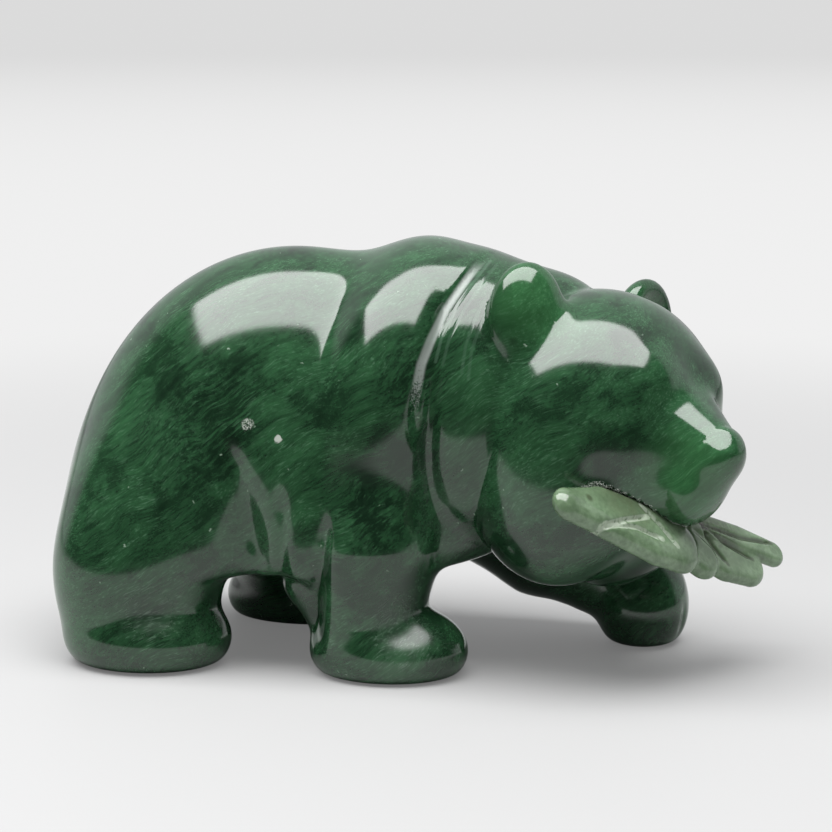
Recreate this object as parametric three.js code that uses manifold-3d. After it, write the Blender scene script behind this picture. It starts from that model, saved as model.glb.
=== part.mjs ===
// A walking bear carved from one block of dark green jade, holding a flat fish
// of pale green jade crosswise in its mouth. Millimetres, +Z up, +X towards the
// head, +Y the bear's left side. The origin lies on the ground, under the middle
// of the whole carving.

import * as THREE from 'three';
import Module from 'manifold-3d';

// Driving dimensions
const bearHeight = 72;      // ground to the top of the shoulder hump
const headTurn = 32;        // degrees, the head looks back over the right shoulder
const headRoll = 11;        // degrees, the far cheek hangs lower than the near one
const fishLength = 55;      // snout to the tip of the tail
const fishThickness = 4;    // through the middle of the fish's body
const fishHeading = 50;     // degrees from +X, the way the tail points
const fishDip = 16;         // degrees, the tail hangs lower than the snout
const fishTilt = 50;        // degrees, the flank leans down out of the mouth
const seatGap = 0.3;        // between the fish and the mouth that holds it
const soleRound = 1.8;      // rounding where the legs meet the ground
const bearFacets = 7600;    // facets of the bear before its mouth is cut
const cutFacets = 500;      // small facets merged away after it is cut
const fishFacets = 1700;
const bearCell = 1.7;       // spacing of the sampling grid in the stone
const fishCell = 0.9;

// The masses below are drawn for a bear and a fish of these sizes, and grow with them
const drawnHeight = 72;
const drawnFishLength = 55;
const drawnFishThickness = 4;
const bearScale = bearHeight / drawnHeight;

// Body masses: centre and half-sizes, and a lean in degrees about Y where there is one
const trunk = { at: [-20.5, 0, 20], half: [41.3, 27, 49.6] };
const haunches = [
  { at: [-42, -13.5, 23], half: [16, 13.8, 21] },
  { at: [-35, 13, 24], half: [16, 14, 25] },
];
const flankHollow = { at: [-23.5, -33, 10], half: [6.8, 9.5, 36] };
const shoulderRing = { at: [-3, -0.5, 43], half: [16.8, 26.8, 29.2], lean: 14 };
const neck = { at: [11, -1.5, 43.5], half: [17, 22.4, 26.1] };
const nape = { at: [23, -1, 48], half: [14, 14, 17.8] };
const bellyHeight = 16;
const chestRise = 0.25;     // the underside climbs towards the throat
const chestHeight = 14.5;

// Legs: a thigh or upper arm, a foot, and the way they melt together
const nearHindLeg = { at: [-45.2, -17, 13], half: [14.3, 11.5, 17] };
const nearHindFoot = { at: [-43.3, -18, 4.5], half: [14.4, 11.5, 8.4] };
const farHindLeg = [[-27, 16, 24, 12], [-26, 17, 10, 10]];
const farHindFoot = { at: [-23, 17, 4], half: [15, 10, 8.4] };
const nearForeleg = [[-4, -14.5, 42, 11.5], [-4.5, -17.5, 22, 10.8], [-4.8, -18, 9, 9.3]];
const nearForefoot = { at: [-1.5, -18, 4], half: [13.4, 10.5, 7.9] };
const elbowFold = [[-15.2, -16, 34, 5], [-15.2, -17.2, 15, 4], [-10.5, -17, 7.5, 4]];
const farForeleg = [[4, 12, 28, 12], [20.5, 12.5, 16, 8.8], [29, 12, 12.5, 7.2], [38, 10.5, 9, 8]];
const farForefoot = { at: [38.8, 9.5, 6], half: [8, 8.5, 8.5] };

// Head masses, measured forward, to the bear's left and up from the head's centre
const headCentre = [32, -6.5, 40.4];
const skull = { at: [-0.3, 0, 3], half: [20, 21.3, 20.6] };
const jowl = { at: [-1, 7, -6.5], half: [16.8, 14.3, 20] };
const brow = { at: [11.2, 6.5, 8.5], half: [7, 6, 6.5] };
const muzzle = [[12, 0, 2.4, 11.8], [24.4, 0, -0.8, 5.3]];
const lip = [[8, 0, -7.5, 12], [20, 0, -7.6, 5.8]];
const noseFace = { at: [32, 0, 0], slope: 37 };
const nearEar = { at: [-4.3, -17.3, 16.4], half: [4.6, 6.6, 9.6], yaw: -35, roll: 5 };
const farEar = { at: [-3.8, 13.6, 17.2], half: [3.8, 7.4, 9.4], roll: -8 };
const farEarCup = { at: [0.2, 14, 21.2], half: [2.8, 5, 5.4] };

// Hollows in the head: the furrow between the brows, between heights and forward of a place,
// each given as where it begins and where it is full, and the corner of the mouth
const furrow = { depth: 0.6, width: 3, foot: [2, 7], top: [20, 10], forward: [8, 14] };
const mouthCorner = { at: [12.3, -14.8, -7], depth: 0.7, width: 4 };

// Creases cut in the flanks: a line in side view, with its depth and half-width
const creases = [
  { side: -1, depth: 1.2, width: 2.2, line: [[-27.7, 42.1], [-25.8, 34.5], [-24.2, 26.1], [-22.2, 17]] },
  { side: -1, depth: 0.9, width: 1.6, line: [[-18, 35], [-17.7, 24.7], [-18.3, 14]] },
  { side: -1, depth: 1.0, width: 1.5, line: [[-9.8, 30.5], [-11, 20.3], [-12.6, 10], [-13.4, 3]] },
  { side: 1, depth: 1.2, width: 2.2, line: [[-22, 42], [-20, 30], [-14, 18]] },
];
const creaseStart = 2;      // the creases fade out towards the spine
const creaseFull = 8;
const neckSeam = { depth: 1, width: 1.8 };      // the crease that follows the neck's joint with the shoulders

// Fish: blades drawn along the fish and up towards its back, each point with its half-width
const fishMiddle = [46.7, -15, 26.5];
const fishBlades = [
  { line: [[-27.2, -0.8, 2.9], [-19, -1.2, 4.9], [-9, -3.4, 5.9], [-4.2, -4.8, 5.1]], half: 2, lift: 0.4, edge: 1.1 },
  { line: [[-3, -2, 4.5], [2.6, -5.9, 3.6]], half: 1.5, lift: -0.5, edge: 0.8 },
  { line: [[0, -1, 4.2], [9, -4, 4.9], [14.6, -5, 4.1]], half: 1.4, lift: -0.9, edge: 0.8 },
  { line: [[0, 1.2, 2.5], [14, -0.6, 2.7], [22.3, -2.2, 2.4]], half: 1.3, lift: -0.2, edge: 0.8 },
];

// How far neighbouring masses melt into each other
const soft = { haunch: 5, hip: 12, flank: 4, shoulder: 4, neck: 2, nape: 10, belly: 8 };
const softLeg = { near: 9, thigh: 5, foot: 3, fold: 2, foreleg: 6, farForeleg: 4 };
const softFace = { jowl: 8, brow: 3, lip: 8, nose: 2.5, muzzleTop: 1.8, muzzleSide: 5.3 };
const muzzleTopHeight = [6, -2];        // where the muzzle's sharp upper joint begins to soften, and where it is soft
const softEar = { near: 4, far: 3, cup: 2 };
const softHead = 1.2;
const softBlade = 0.6;

const radians = THREE.MathUtils.degToRad;

// A soft join: the nearer of two distances, rounded where they are alike
function melt(a, b, reach) {
  const near = Math.max(reach - Math.abs(a - b), 0) / reach;
  return Math.min(a, b) - near * near * near * reach / 6;
}

// A soft cut keeps what lies inside both
function trim(a, b, reach) {
  return -melt(-a, -b, reach);
}

function fadeIn(from, to, value) {
  return THREE.MathUtils.smoothstep(value, from, to);
}

// The same where the end may lie below the start
function fadeEither(from, to, value) {
  return from < to ? fadeIn(from, to, value) : 1 - fadeIn(to, from, value);
}

// Distance to an ellipsoid that may be turned about its centre
function ellipsoid(mass, scale = bearScale) {
  const turn = new THREE.Matrix4().makeRotationFromEuler(new THREE.Euler(
    radians(mass.roll ?? 0), radians(mass.lean ?? 0), radians(mass.yaw ?? 0), 'ZYX'));
  const m = turn.elements;
  const [cx, cy, cz] = mass.at.map((value) => value * scale);
  const [rx, ry, rz] = mass.half.map((value) => value * scale);
  return (x, y, z) => {
    const dx = x - cx;
    const dy = y - cy;
    const dz = z - cz;
    const u = (m[0] * dx + m[1] * dy + m[2] * dz) / rx;
    const v = (m[4] * dx + m[5] * dy + m[6] * dz) / ry;
    const w = (m[8] * dx + m[9] * dy + m[10] * dz) / rz;
    const outward = Math.hypot(u, v, w);
    const steepness = Math.hypot(u / rx, v / ry, w / rz);
    return outward * (outward - 1) / Math.max(steepness, 1e-6);
  };
}

// Distance to a limb: a chain of tapering rounds, each point with its radius
function limb(points, reach = 1, scale = bearScale) {
  const bones = [];
  for (let i = 0; i + 1 < points.length; i += 1) {
    const [ax, ay, az, ar] = points[i].map((value) => value * scale);
    const [bx, by, bz, br] = points[i + 1].map((value) => value * scale);
    const dx = bx - ax;
    const dy = by - ay;
    const dz = bz - az;
    const long = dx * dx + dy * dy + dz * dz;
    bones.push((x, y, z) => {
      const along = ((x - ax) * dx + (y - ay) * dy + (z - az) * dz) / long;
      const t = Math.min(Math.max(along, 0), 1);
      return Math.hypot(x - ax - t * dx, y - ay - t * dy, z - az - t * dz) - ar - t * (br - ar);
    });
  }
  return (x, y, z) => bones.map((bone) => bone(x, y, z)).reduce((a, b) => melt(a, b, reach));
}

// Distance in a plane to a line whose points carry a half-width
function ribbon(points, scale) {
  const flat = points.map(([a, b, half = 0]) => [a, b, 0, half]);
  const sections = [];
  for (let i = 0; i + 1 < flat.length; i += 1) {
    sections.push(limb([flat[i], flat[i + 1]], 1, scale));
  }
  return (a, b) => Math.min(...sections.map((section) => section(a, b, 0)));
}

function mirrored(mass, side) {
  const [forward, left, up] = mass.at;
  return { ...mass, at: [forward, side * left, up], yaw: side * (mass.yaw ?? 0), roll: side * (mass.roll ?? 0) };
}

// The head, in its own frame
function makeHead() {
  const skullField = ellipsoid(skull);
  const jowls = [-1, 1].map((side) => ellipsoid(mirrored(jowl, side)));
  const brows = [-1, 1].map((side) => ellipsoid(mirrored(brow, side)));
  const muzzleField = limb(muzzle);
  const lipField = limb(lip);
  const nearEarField = ellipsoid(nearEar);
  const farEarField = ellipsoid(farEar);
  const cupField = ellipsoid(farEarCup);
  const [noseX, , noseZ] = noseFace.at.map((value) => value * bearScale);
  const noseForward = Math.cos(radians(noseFace.slope));
  const noseUp = -Math.sin(radians(noseFace.slope));
  const inBand = ([from, to], value) => fadeEither(from * bearScale, to * bearScale, value);
  return (x, y, z) => {
    const cheeks = melt(jowls[0](x, y, z), jowls[1](x, y, z), softFace.jowl);
    const forehead = melt(skullField(x, y, z), Math.min(brows[0](x, y, z), brows[1](x, y, z)), softFace.brow);
    const snout = melt(muzzleField(x, y, z), lipField(x, y, z), softFace.lip);
    const nose = (x - noseX) * noseForward + (z - noseZ) * noseUp;
    const joint = softFace.muzzleTop
      + (softFace.muzzleSide - softFace.muzzleTop) * inBand(muzzleTopHeight, z);
    let head = melt(forehead, cheeks, softFace.jowl);
    head = melt(head, trim(snout, nose, softFace.nose), joint);
    const between = Math.exp(-((y / (furrow.width * bearScale)) ** 2));
    head += furrow.depth * bearScale * between
      * inBand(furrow.foot, z) * inBand(furrow.top, z) * inBand(furrow.forward, x);
    const [cornerX, cornerY, cornerZ] = mouthCorner.at.map((value) => value * bearScale);
    const away = Math.hypot(x - cornerX, y - cornerY, z - cornerZ) / (mouthCorner.width * bearScale);
    head += mouthCorner.depth * bearScale * Math.exp(-away * away);
    head = melt(head, nearEarField(x, y, z), softEar.near);
    return melt(head, trim(farEarField(x, y, z), -cupField(x, y, z), softEar.cup), softEar.far);
  };
}

// The body with its legs, without the head
function makeBody() {
  const trunkField = ellipsoid(trunk);
  const haunchFields = haunches.map((haunch) => ellipsoid(haunch));
  const hollowField = ellipsoid(flankHollow);
  const ringField = ellipsoid(shoulderRing);
  const neckField = ellipsoid(neck);
  const napeField = ellipsoid(nape);
  const hindLegs = [
    { leg: ellipsoid(nearHindLeg), foot: ellipsoid(nearHindFoot), reach: softLeg.near },
    { leg: limb(farHindLeg), foot: ellipsoid(farHindFoot), reach: softLeg.thigh },
  ];
  const nearFore = { leg: limb(nearForeleg, softLeg.foreleg), foot: ellipsoid(nearForefoot) };
  const farFore = { leg: limb(farForeleg, softLeg.farForeleg), foot: ellipsoid(farForefoot) };
  const fold = limb(elbowFold, softLeg.foot);
  const cuts = creases.map((crease) => ({ ...crease, path: ribbon(crease.line, bearScale) }));
  return (x, y, z) => {
    const hips = melt(haunchFields[0](x, y, z), haunchFields[1](x, y, z), soft.haunch);
    let stone = melt(trunkField(x, y, z), hips, soft.hip);
    stone = trim(stone, -hollowField(x, y, z), soft.flank);
    const ring = ringField(x, y, z);
    const throat = neckField(x, y, z);
    stone = melt(stone, ring, soft.shoulder);
    stone = melt(stone, melt(throat, napeField(x, y, z), soft.nape), soft.neck);
    const offSeam = (ring - throat) / (neckSeam.width * bearScale);
    stone += neckSeam.depth * bearScale * Math.exp(-offSeam * offSeam)
      * fadeIn(creaseStart * bearScale, creaseFull * bearScale, Math.abs(y));
    stone = trim(stone, bellyHeight * bearScale - z, soft.belly);
    stone = trim(stone, chestHeight * bearScale + chestRise * x - z, soft.belly);
    for (const { leg, foot, reach } of hindLegs) {
      stone = melt(stone, melt(leg(x, y, z), foot(x, y, z), softLeg.foot), reach);
    }
    stone = melt(stone, fold(x, y, z), softLeg.fold);
    stone = melt(stone, melt(nearFore.leg(x, y, z), nearFore.foot(x, y, z), softLeg.foot), softLeg.foot);
    stone = melt(stone, melt(farFore.leg(x, y, z), farFore.foot(x, y, z), softLeg.foot), softLeg.thigh);
    for (const { side, depth, width, path } of cuts) {
      const inFlank = fadeIn(creaseStart * bearScale, creaseFull * bearScale, side * y);
      if (inFlank > 0) {
        const away = path(x, z) / (width * bearScale);
        stone += depth * bearScale * Math.exp(-away * away) * inFlank;
      }
    }
    return stone;
  };
}

// The whole bear: body and turned head, cut flat at the ground
function makeBear() {
  const body = makeBody();
  const head = makeHead();
  const turn = new THREE.Matrix4().makeRotationFromEuler(
    new THREE.Euler(radians(-headRoll), 0, radians(-headTurn), 'ZYX'));
  const m = turn.elements;
  const [hx, hy, hz] = headCentre.map((value) => value * bearScale);
  return (x, y, z) => {
    const dx = x - hx;
    const dy = y - hy;
    const dz = z - hz;
    const forward = m[0] * dx + m[1] * dy + m[2] * dz;
    const left = m[4] * dx + m[5] * dy + m[6] * dz;
    const up = m[8] * dx + m[9] * dy + m[10] * dz;
    const stone = melt(body(x, y, z), head(forward, left, up), softHead);
    return trim(stone, -z, soleRound);
  };
}

// The fish's own axes: along it to the tail, up to its back, and out of the flank that shows
function fishFrame() {
  const heading = radians(fishHeading);
  const dip = radians(fishDip);
  const tilt = radians(fishTilt);
  const along = new THREE.Vector3(
    Math.cos(heading) * Math.cos(dip), Math.sin(heading) * Math.cos(dip), -Math.sin(dip));
  const level = new THREE.Vector3(Math.sin(heading), -Math.cos(heading), 0);
  const steep = new THREE.Vector3().crossVectors(along, level).negate();
  const back = steep.clone().multiplyScalar(Math.sin(tilt)).addScaledVector(level, -Math.cos(tilt));
  const flank = new THREE.Vector3().crossVectors(along, back);
  return new THREE.Matrix4().makeBasis(along, back, flank)
    .setPosition(new THREE.Vector3(...fishMiddle).multiplyScalar(bearScale));
}

// The fish in its own frame: overlapping blades with rounded edges
function makeFish() {
  const plan = fishLength / drawnFishLength;
  const thick = fishThickness / drawnFishThickness;
  const blades = fishBlades.map((blade) => ({ ...blade, outline: ribbon(blade.line, plan) }));
  return (u, v, w) => {
    let fish = Infinity;
    for (const { outline, half, lift, edge } of blades) {
      const round = edge * thick;
      const outside = outline(u, v) + round;
      const above = Math.abs(w - lift * thick) - half * thick + round;
      const corner = Math.hypot(Math.max(outside, 0), Math.max(above, 0));
      const blade = corner + Math.min(Math.max(outside, above), 0) - round;
      fish = fish === Infinity ? blade : melt(fish, blade, softBlade);
    }
    return fish;
  };
}

// The direction in which a field grows fastest
function slope(field, x, y, z) {
  const step = 0.02;
  return new THREE.Vector3(
    field(x + step, y, z) - field(x - step, y, z),
    field(x, y + step, z) - field(x, y - step, z),
    field(x, y, z + step) - field(x, y, z - step)).divideScalar(2 * step);
}

// A grid cell's corners are numbered 0 to 7 by their x, y and z bits. An edge is named by
// its lower corner and its axis.
const cellCorners = [0, 1, 2, 3, 4, 5, 6, 7].map((n) => [n & 1, (n >> 1) & 1, n >> 2]);
const edgeName = (corner, axis) => corner * 3 + axis;
const cellFaces = [0, 1, 2].flatMap((axis) => [0, 1].map((side) => {
  const u = 1 << ((axis + 1) % 3);
  const v = 1 << ((axis + 2) % 3);
  return [0, u, u | v, v].map((corner) => corner | (side << axis));
}));

// The crossed edges of a cell, sorted into the separate sheets that pass through it
function sheetsOf(value) {
  const sheet = new Map();
  const inside = value.map((v) => v < 0);
  const join = (one, two) => {
    const from = sheet.get(one) ?? one;
    const to = sheet.get(two) ?? two;
    sheet.set(one, from);
    sheet.set(two, to);
    sheet.forEach((root, edge) => root === to && sheet.set(edge, from));
  };
  for (const ring of cellFaces) {
    const edges = ring.map((corner, n) => {
      const next = ring[(n + 1) % 4];
      return edgeName(corner & next, Math.log2(corner ^ next));
    });
    const crossed = edges.filter((_, n) => inside[ring[n]] !== inside[ring[(n + 1) % 4]]);
    if (crossed.length === 2) join(crossed[0], crossed[1]);
    if (crossed.length === 4) {
      ring.forEach((corner, n) => inside[corner] && join(edges[n], edges[(n + 3) % 4]));
    }
  }
  const sheets = new Map();
  sheet.forEach((root, edge) => sheets.set(root, [...(sheets.get(root) ?? []), edge]));
  return [...sheets.values()];
}

// Widen a box until the field lies outside on all six of its faces
function roomFor(field, low, high, step) {
  const [from, to] = [low.slice(), high.slice()];
  const touches = (axis, side) => {
    const [p, q] = [(axis + 1) % 3, (axis + 2) % 3];
    const place = [0, 0, 0];
    place[axis] = side;
    for (place[p] = from[p]; place[p] <= to[p]; place[p] += step) {
      for (place[q] = from[q]; place[q] <= to[q]; place[q] += step) {
        if (field(...place) < step) return true;
      }
    }
    return false;
  };
  for (const axis of [0, 1, 2]) {
    while (touches(axis, from[axis])) from[axis] -= step;
    while (touches(axis, to[axis])) to[axis] += step;
  }
  return [from, to];
}

// A closed skin around a field: in each grid cell one point for each sheet that passes
// through, drawn onto the surface, and one facet pair across each crossed grid edge
function skin(field, core, cell, step) {
  const [low, high] = roomFor(field, core.low, core.high, step);
  const [nx, ny, nz] = low.map((value, axis) => Math.ceil((high[axis] - value) / cell) + 1);
  const at = (i, j, k) => (k * ny + j) * nx + i;
  const sample = new Float64Array(nx * ny * nz);
  for (let k = 0; k < nz; k += 1) {
    for (let j = 0; j < ny; j += 1) {
      for (let i = 0; i < nx; i += 1) {
        sample[at(i, j, k)] = field(low[0] + i * cell, low[1] + j * cell, low[2] + k * cell);
      }
    }
  }
  const points = [];
  const pointOf = new Map();
  const keyOf = (i, j, k, edge) => at(i, j, k) * 24 + edge;
  for (let k = 0; k + 1 < nz; k += 1) {
    for (let j = 0; j + 1 < ny; j += 1) {
      for (let i = 0; i + 1 < nx; i += 1) {
        const value = cellCorners.map(([a, b, c]) => sample[at(i + a, j + b, k + c)]);
        const within = value.filter((v) => v < 0).length;
        for (const edges of within % 8 === 0 ? [] : sheetsOf(value)) {
          const point = new THREE.Vector3();
          for (const edge of edges) {
            const from = Math.floor(edge / 3);
            const axis = edge % 3;
            const t = value[from] / (value[from] - value[from | (1 << axis)]);
            point.add(new THREE.Vector3(...cellCorners[from].map((c, n) => (n === axis ? t : c))));
            pointOf.set(keyOf(i, j, k, edge), points.length);
          }
          const corner = new THREE.Vector3(low[0] + i * cell, low[1] + j * cell, low[2] + k * cell);
          points.push(drawOnto(field, point.multiplyScalar(cell / edges.length).add(corner), corner, cell));
        }
      }
    }
  }
  const facets = [];
  for (let k = 1; k + 1 < nz; k += 1) {
    for (let j = 1; j + 1 < ny; j += 1) {
      for (let i = 1; i + 1 < nx; i += 1) {
        for (let axis = 0; axis < 3; axis += 1) {
          const next = [i, j, k].map((n, other) => (other === axis ? n + 1 : n));
          const here = sample[at(i, j, k)] < 0;
          if (here !== sample[at(...next)] < 0) {
            const p = (axis + 1) % 3;
            const q = (axis + 2) % 3;
            const ring = [[1, 1], [0, 1], [0, 0], [1, 0]].map(([s, t]) => {
              const home = [i, j, k];
              home[p] -= s;
              home[q] -= t;
              return pointOf.get(keyOf(...home, edgeName((s << p) | (t << q), axis)));
            });
            if (here) ring.reverse();
            const [one, two, three, four] = ring;
            const shortWay = points[one].distanceTo(points[three]) < points[two].distanceTo(points[four]);
            if (shortWay) facets.push([one, three, two], [one, four, three]);
            else facets.push([one, four, two], [two, four, three]);
          }
        }
      }
    }
  }
  return { points, facets };
}

// Slide a point along the field's slope until it lies on the surface, inside its own cell
function drawOnto(field, point, corner, cell) {
  const margin = 0.03 * cell;
  const nearest = corner.clone().addScalar(margin);
  const furthest = corner.clone().addScalar(cell - margin);
  for (let pass = 0; pass < 4; pass += 1) {
    const value = field(point.x, point.y, point.z);
    const grade = slope(field, point.x, point.y, point.z);
    const move = THREE.MathUtils.clamp(-value / Math.max(grade.lengthSq(), 0.25), -cell / 4, cell / 4);
    point.addScaledVector(grade, move).clamp(nearest, furthest);
  }
  return point;
}

// Facets of less than this double area, in square mm, are merged away first
const sliverSize = 0.005;

// Merge facets where the stone is flat or evenly curved until about the wanted number
// is left. Each edge is shrunk to the point that strays least from the facets around it.
function coarsen({ points, facets }, wanted) {
  const place = points.map((point) => point.clone());
  const around = place.map(() => new Set());
  const alive = facets.map((facet) => facet.slice());
  const misfit = place.map(() => new Float64Array(10));
  const normalOf = (facet, swap, to) => {
    const [a, b, c] = facet.map((n) => (n === swap ? to : place[n]));
    return new THREE.Vector3().subVectors(b, a).cross(new THREE.Vector3().subVectors(c, a));
  };
  alive.forEach((facet, index) => {
    facet.forEach((n) => around[n].add(index));
    const normal = normalOf(facet);
    const area = normal.length();
    normal.divideScalar(Math.max(area, 1e-12));
    const plane = [normal.x, normal.y, normal.z, -normal.dot(place[facet[0]])];
    facet.forEach((n) => {
      let slot = 0;
      for (let r = 0; r < 4; r += 1) {
        for (let c = r; c < 4; c += 1) {
          misfit[n][slot] += area * plane[r] * plane[c];
          slot += 1;
        }
      }
    });
  });
  const strays = (q, p) => q[0] * p.x * p.x + 2 * q[1] * p.x * p.y + 2 * q[2] * p.x * p.z + 2 * q[3] * p.x
    + q[4] * p.y * p.y + 2 * q[5] * p.y * p.z + 2 * q[6] * p.y
    + q[7] * p.z * p.z + 2 * q[8] * p.z + q[9];
  const neighbours = (n) => {
    const found = new Set();
    around[n].forEach((index) => alive[index].forEach((m) => m !== n && found.add(m)));
    return found;
  };
  const stamp = new Int32Array(place.length);
  const plan = (a, b) => {
    const q = misfit[a].map((value, n) => value + misfit[b][n]);
    const middle = new THREE.Vector3().addVectors(place[a], place[b]).multiplyScalar(0.5);
    const choices = [place[a], place[b], middle];
    const matrix = new THREE.Matrix3().set(q[0], q[1], q[2], q[1], q[4], q[5], q[2], q[5], q[7]);
    if (Math.abs(matrix.determinant()) > 1e-3) {
      const best = new THREE.Vector3(-q[3], -q[6], -q[8]).applyMatrix3(matrix.invert());
      if (best.distanceTo(middle) < place[a].distanceTo(place[b])) choices.push(best);
    }
    const spread = 1e-3 * place[a].distanceToSquared(place[b]);
    const scored = choices.map((point) => ({ point, cost: strays(q, point) + spread }));
    const { point, cost } = scored.reduce((one, two) => (two.cost < one.cost ? two : one));
    return { a, b, q, point: point.clone(), cost, stampA: stamp[a], stampB: stamp[b] };
  };
  const heap = [];
  const push = (item) => {
    heap.push(item);
    let n = heap.length - 1;
    while (n > 0 && heap[(n - 1) >> 1].cost > heap[n].cost) {
      const up = (n - 1) >> 1;
      [heap[n], heap[up]] = [heap[up], heap[n]];
      n = up;
    }
  };
  const pop = () => {
    const top = heap[0];
    const last = heap.pop();
    if (heap.length > 0) {
      heap[0] = last;
      let n = 0;
      for (;;) {
        let least = n;
        for (const m of [2 * n + 1, 2 * n + 2]) {
          if (m < heap.length && heap[m].cost < heap[least].cost) least = m;
        }
        if (least === n) break;
        [heap[n], heap[least]] = [heap[least], heap[n]];
        n = least;
      }
    }
    return top;
  };
  place.forEach((_, a) => neighbours(a).forEach((b) => a < b && push(plan(a, b))));
  let left = alive.length;
  while (left > wanted && heap.length > 0) {
    const { a, b, q, point, stampA, stampB } = pop();
    if (stamp[a] === stampA && stamp[b] === stampB && around[a].size > 0 && around[b].size > 0) {
      const ringA = neighbours(a);
      const shared = [...neighbours(b)].filter((n) => ringA.has(n));
      const kept = (n, other) => [...around[n]].filter((index) => !alive[index].includes(other));
      const upright = (n, other) => kept(n, other).every((index) => {
        const before = normalOf(alive[index]);
        const after = normalOf(alive[index], n, point);
        const sliver = before.length() < sliverSize;
        return after.length() > sliverSize
          && (sliver || before.dot(after) > 0.3 * before.length() * after.length());
      });
      if (shared.length === 2 && upright(a, b) && upright(b, a)) {
        [...around[b]].forEach((index) => {
          const facet = alive[index];
          if (facet.includes(a)) {
            facet.forEach((n) => around[n].delete(index));
            alive[index] = null;
            left -= 1;
          } else {
            facet[facet.indexOf(b)] = a;
            around[a].add(index);
          }
        });
        around[b].clear();
        place[a] = point;
        misfit[a] = q;
        stamp[a] += 1;
        stamp[b] += 1;
        neighbours(a).forEach((n) => push(plan(a, n)));
      }
    }
  }
  return { points: place, facets: alive.filter((facet) => facet !== null) };
}

// Soles are exactly flat and at ground height
const soleTolerance = 0.06;
function seatOnGround({ points, facets }) {
  const seated = points.map((point) => (
    point.z < soleTolerance ? new THREE.Vector3(point.x, point.y, 0) : point));
  return { points: seated, facets };
}

// The same skin, with every point moved out along the field's slope
function swell({ points, facets }, field, distance) {
  const moved = points.map((point) => {
    const out = slope(field, point.x, point.y, point.z).normalize();
    return point.clone().addScaledVector(out, distance);
  });
  return { points: moved, facets };
}

function placed({ points, facets }, matrix) {
  return { points: points.map((point) => point.clone().applyMatrix4(matrix)), facets };
}

const wasm = await Module();
wasm.setup();

function toSolid({ points, facets }) {
  const used = new Map();
  const vertices = [];
  const triangles = facets.flat().map((n) => {
    if (!used.has(n)) {
      used.set(n, vertices.length / 3);
      vertices.push(points[n].x, points[n].y, points[n].z);
    }
    return used.get(n);
  });
  return new wasm.Manifold(new wasm.Mesh({
    numProp: 3,
    vertProperties: new Float32Array(vertices),
    triVerts: new Uint32Array(triangles),
  }));
}

function toSkin(solid) {
  const { vertProperties, triVerts } = solid.getMesh();
  const points = [];
  for (let n = 0; n < vertProperties.length; n += 3) {
    points.push(new THREE.Vector3(...vertProperties.subarray(n, n + 3)));
  }
  const facets = [];
  for (let n = 0; n < triVerts.length; n += 3) facets.push([...triVerts.subarray(n, n + 3)]);
  return { points, facets };
}

function toGeometry({ points, facets }) {
  const used = [...new Set(facets.flat())];
  const slot = new Map(used.map((n, index) => [n, index]));
  const geometry = new THREE.BufferGeometry().setFromPoints(used.map((n) => points[n]));
  geometry.setIndex(facets.flat().map((n) => slot.get(n)));
  geometry.computeVertexNormals();
  return geometry;
}

// The heart of the stone that the carver starts from, and of the slip that the fish is cut from.
// Both are widened in steps until the whole carving lies inside.
const block = { low: [-40, -20, -2], high: [40, 20, 50] };
const slip = { low: [-20, -8, -2], high: [20, 6, 2] };
const blockStep = 3;
const slipStep = 1;

const bearField = makeBear();
const bearSkin = seatOnGround(coarsen(skin(bearField, block, bearCell, blockStep), bearFacets));

const fishField = makeFish();
const fishPlace = fishFrame();
const fishSkin = coarsen(skin(fishField, slip, fishCell, slipStep), fishFacets);

// The mouth is cut to the fish, with its gap, and the slivers of the cut are merged away
const seat = toSolid(placed(swell(fishSkin, fishField, seatGap), fishPlace));
const cutBear = toSkin(toSolid(bearSkin).subtract(seat));
const finishedBear = seatOnGround(coarsen(cutBear, cutBear.facets.length - cutFacets));

const darkJade = new THREE.MeshStandardMaterial({ color: 0x1f5a30, roughness: 0.12, metalness: 0 });
const paleJade = new THREE.MeshStandardMaterial({ color: 0x8fb58a, roughness: 0.2, metalness: 0 });

const bear = new THREE.Mesh(toGeometry(finishedBear), darkJade);
bear.name = 'bear';
const fish = new THREE.Mesh(toGeometry(placed(fishSkin, fishPlace)), paleJade);
fish.name = 'fish';

const sculpture = new THREE.Group();
sculpture.add(bear, fish);

// Stand the carving over the origin
const reach = new THREE.Box3().setFromObject(sculpture);
const middle = reach.getCenter(new THREE.Vector3());
for (const piece of sculpture.children) {
  piece.position.set(-middle.x, -middle.y, -reach.min.z);
}

export default sculpture;
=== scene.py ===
# %% [markdown]
# # A jade bear with a fish in its mouth
#
# The sculpture is one block of dark green jade, ground and polished to a mirror, with a thin fish of
# pale jade let into its mouth. Only its soles and the facets of its nose are flat, and nothing is
# sharp but a few cut lines. So it isn't built from faces. Each mass of the body is a simple round
# form with a distance to its surface, the masses melt into each other as the carver's forms do, and
# one fine skin is drawn over the whole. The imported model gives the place, and this script gives the
# finish.

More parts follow.
